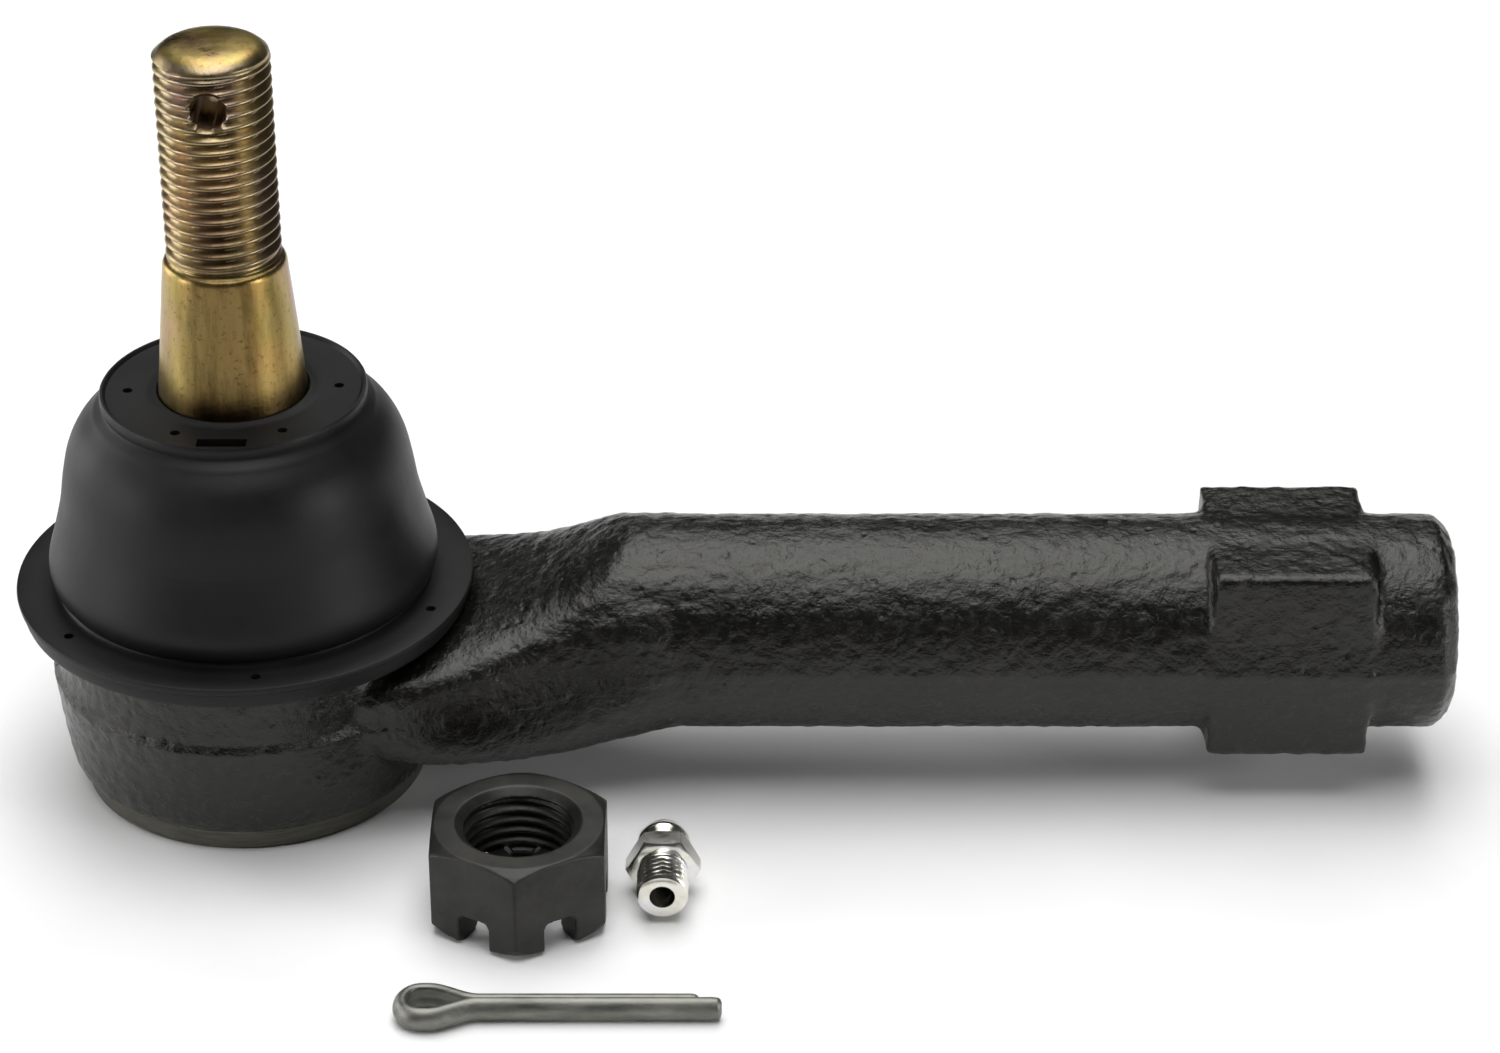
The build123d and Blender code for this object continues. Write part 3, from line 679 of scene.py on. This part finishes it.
# ---------------------------------------------------------------------------------------------
# Cotter pin: half-round steel wire folded on itself, with an eye at the fold and one leg longer
# than the other. It is drawn wire, dull grey, cropped at both ends.
pin_low, pin_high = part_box("cotter_pin")
pin_eye = Vector((pin_low.x + 1.55 * MM, (pin_low.y + pin_high.y) / 2, (pin_low.z + pin_high.z) / 2))
pin_length = (pin_high.x - pin_eye.x) / MM
bpy.ops.object.select_all(action="DESELECT")
bpy.ops.curve.primitive_bezier_curve_add()
wire = bpy.context.object
wire.name = "folded_pin"
spline = wire.data.splines[0]
wire_points = [
    ((pin_length - 2.6, 0.06), (0.1, 0), 0.5), ((pin_length - 2.75, 0.06), (0.1, 0), 0.78),
    ((pin_length - 3.1, 0.06), (0.2, 0), 0.95), ((pin_length - 3.7, 0.06), (0.3, 0), 1),
    ((8.6, 0.06), (1.5, 0), 1), ((4.5, 1.6), (1.3, -0.6), 1), ((1.9, 2.15), (1.15, 0), 1),
    ((-0.1, 0), (0, 1.2), 1), ((1.9, -2.15), (-1.15, 0), 1), ((4.5, -1.6), (-1.3, -0.6), 1),
    ((8.6, -0.06), (-1.5, 0), 1), ((pin_length - 1.1, -0.06), (-0.3, 0), 1),
    ((pin_length - 0.5, -0.06), (-0.2, 0), 0.95), ((pin_length - 0.15, -0.06), (-0.1, 0), 0.78),
    ((pin_length, -0.06), (-0.1, 0), 0.5),
]
spline.bezier_points.add(len(wire_points) - 2)
for point, ((x, y), (hx, hy), share) in zip(spline.bezier_points, wire_points):
    point.co = Vector((x * MM, y * MM, 0))
    point.handle_left = point.co + Vector((hx * MM, hy * MM, 0))
    point.handle_right = point.co - Vector((hx * MM, hy * MM, 0))
    point.radius = share
spline.resolution_u = 10
wire.data.dimensions = "3D"
bpy.ops.object.select_all(action="DESELECT")
bpy.ops.curve.primitive_bezier_curve_add()
section = bpy.context.object
half_round = section.data.splines[0]
half_round.bezier_points.add(2)
section_points = [(0.0, 1.5), (1.45, 0.0), (0.0, -1.5), (0.0, 0.0)]
for point, (x, y) in zip(half_round.bezier_points, section_points):
    point.handle_left_type = point.handle_right_type = "AUTO"
    point.co = Vector((x * MM, y * MM, 0))
half_round.use_cyclic_u = True
wire.data.bevel_mode = "OBJECT"
wire.data.bevel_object = section
wire.data.use_fill_caps = True
only(wire)
bpy.ops.object.convert(target="MESH")
folded_pin = bpy.context.object
bpy.data.objects.remove(section)
only(folded_pin)
bpy.ops.object.mode_set(mode="EDIT")
bpy.ops.mesh.select_all(action="SELECT")
bpy.ops.mesh.remove_doubles(threshold=0.003 * MM)
bpy.ops.mesh.normals_make_consistent(inside=False)
bpy.ops.object.mode_set(mode="OBJECT")
folded_pin.location = pin_eye
bpy.ops.object.transform_apply(location=True)

drawn_wire, tree, shader = begin("drawn_wire")
scale = grain(tree, 700, 6, 0.65, (0.25, 1, 1))
tree.links.new(
    shades(tree, scale.outputs["Fac"], [(0.3, (0.1, 0.1, 0.09)), (0.72, (0.27, 0.27, 0.24))]),
    shader.inputs["Base Color"],
)
tree.links.new(shades(tree, scale.outputs["Fac"], [(0.3, 0.36), (0.7, 0.55)]), shader.inputs["Roughness"])
relief(tree, shader, scale.outputs["Fac"], 0.25, 0.00015)
shader.inputs["Metallic"].default_value = 0.85
folded_pin.data.materials.append(drawn_wire)
only(folded_pin)
bpy.ops.object.shade_smooth_by_angle(angle=math.radians(50))
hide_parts("cotter_pin")
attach(folded_pin, "cotter_pin")


# ---------------------------------------------------------------------------------------------
# Grease fitting: turned steel with a 1/4-28 thread, a hexagon and a coupler's head, bright zinc
# plated. A sprung check ball shuts its mouth.
fitting_low, fitting_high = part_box("grease_fitting")
fitting_base = Vector(((fitting_low.x + fitting_high.x) / 2, fitting_low.y,
    (fitting_low.z + fitting_high.z) / 2))
body_outline = [(1.55, 0.0), (1.75, 0.0), (2.75, 0.0), (2.95, 0.12)]
body_outline += rings(3.12, 0.3, 4.7, 0.907, 9)
body_outline += [(2.8, 4.9), (2.7, 5.4), (2.7, 8.5), (2.5, 8.7), (2.45, 9.0), (2.45, 9.7), (2.6, 10.1),
    (3.0, 10.6)]
body_outline += [(3.25, 10.95), (3.3, 11.25), (3.25, 11.6), (2.9, 12.4), (2.3, 13.5), (1.9, 14.1), (1.6,
    14.33)]
body_outline += [(1.2, 14.4), (0.95, 14.4), (0.88, 14.2), (0.88, 12.3), (1.55, 12.2), (1.55, 0.0)]
fitting = lathe("fitting_body", body_outline, 72)
cut_thread(fitting, 0.907, 2.6, 3.15, 0.25, 4.75, 0.35)
bpy.ops.object.select_all(action="DESELECT")
bpy.ops.mesh.primitive_cylinder_add(vertices=6, radius=7.94 / math.sqrt(3) * MM, depth=3.2 * MM,
                                    location=(0, 0, 7.0 * MM), rotation=(0, 0, math.radians(30)))
hexagon = bpy.context.object
hex_turned = lathe("hex_turned", [(0, 5.4), (3.7, 5.4), (4.6, 5.95), (4.6, 8.05), (3.7, 8.6), (0, 8.6)], 72)
cut(hexagon, hex_turned, "INTERSECT")
hex_core = lathe("hex_core", [(0, 5.0), (2.2, 5.0), (2.2, 9.0), (0, 9.0)], 48)
cut(hexagon, hex_core)
cut(fitting, hexagon, "UNION")
only(fitting)
bpy.ops.transform.rotate(value=math.pi / 2, orient_axis="X", center_override=(0, 0, 0))
bpy.ops.object.transform_apply(rotation=True)
if max(v.co.y for v in fitting.data.vertices) < 1 * MM:
    fitting.rotation_euler = (0, 0, math.pi)
    bpy.ops.object.transform_apply(rotation=True)
fitting.location = fitting_base
bpy.ops.object.transform_apply(location=True)

bright_zinc, tree, shader = begin("bright_zinc")
plating = grain(tree, 350, 5, 0.6)
tint = shades(tree, plating.outputs["Fac"],
              [(0.3, (0.62, 0.6, 0.5)), (0.5, (0.8, 0.79, 0.72)), (0.68, (0.74, 0.74, 0.78)), (0.85,
                  (0.66, 0.58, 0.4))])
tree.links.new(tint, shader.inputs["Base Color"])
tree.links.new(shades(tree, plating.outputs["Fac"], [(0.3, 0.14), (0.7, 0.28)]), shader.inputs["Roughness"])
relief(tree, shader, plating.outputs["Fac"], 0.12, 0.0001)
shader.inputs["Metallic"].default_value = 1.0
fitting.data.materials.clear()
fitting.data.materials.append(bright_zinc)
only(fitting)
bpy.ops.object.shade_smooth_by_angle(angle=math.radians(42))
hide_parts("grease_fitting")
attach(fitting, "fitting")
for node in ("fitting_check_ball", "fitting_spring"):
    finish_node(node, pressed_steel)
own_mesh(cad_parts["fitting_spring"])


# ---------------------------------------------------------------------------------------------
# Floor, light and camera: a white sweep under soft boxes, seen from above the near side.
floor_height = cad_box[0][2]
bpy.ops.object.select_all(action="DESELECT")
bpy.ops.mesh.primitive_plane_add(size=8, location=(0.06, 0, floor_height))
floor = bpy.context.object
floor.name = "floor"
white_sweep, tree, shader = begin("white_sweep")
paper = grain(tree, 30, 3)
tree.links.new(shades(tree, paper.outputs["Fac"], [(0.3, 0.84), (0.7, 0.88)]), shader.inputs["Base Color"])
shader.inputs["Roughness"].default_value = 0.9
shader.inputs["Specular IOR Level"].default_value = 0.1
floor.data.materials.append(white_sweep)

world = bpy.data.worlds.new("studio")
bpy.context.scene.world = world
world.use_nodes = True
world.node_tree.nodes["Background"].inputs["Color"].default_value = (1, 1, 1, 1)
world.node_tree.nodes["Background"].inputs["Strength"].default_value = 0.03


def soft_box(name, place, aim, size, power):
    """A rectangular area light pointed at a place."""
    bpy.ops.object.select_all(action="DESELECT")
    bpy.ops.object.light_add(type="AREA", location=place)
    light = bpy.context.object
    light.name = name
    light.data.shape = "RECTANGLE"
    light.data.size, light.data.size_y = size
    light.data.energy = power
    light.rotation_euler = (Vector(aim) - Vector(place)).to_track_quat("-Z", "Y").to_euler()


soft_box("overhead", (0.06, 0.25, 1.5), (0.06, 0.0, 0.0), (1.1, 2.4), 26)
soft_box("far_left", (-0.7, 0.3, 0.22), (0.0, 0, 0.03), (0.4, 0.5), 2.4)
soft_box("near_left", (-0.8, -0.25, 0.2), (0.0, 0, 0.03), (0.2, 0.4), 2.2)
soft_box("near_right", (0.8, -0.4, 0.2), (0.03, 0, 0.03), (0.2, 0.4), 2.4)
bpy.ops.object.select_all(action="DESELECT")
bpy.ops.object.light_add(type="SUN", location=(0, 0, 2))
ceiling = bpy.context.object
ceiling.data.energy = 0.9
ceiling.data.angle = math.radians(60)

view_height = math.radians(29.9)
view_distance = 0.538
view_centre = Vector((0.0633, 0.0, 0.0153))
ahead = Vector((0, math.cos(view_height), -math.sin(view_height)))
bpy.ops.object.select_all(action="DESELECT")
bpy.ops.object.camera_add(location=view_centre - ahead * view_distance,
                          rotation=(math.pi / 2 - view_height, 0, 0))
camera = bpy.context.object
camera.data.sensor_width = 36
camera.data.lens = 103.46
camera.data.clip_start = 0.01
bpy.context.scene.camera = camera
bpy.context.scene.view_settings.view_transform = "Standard"
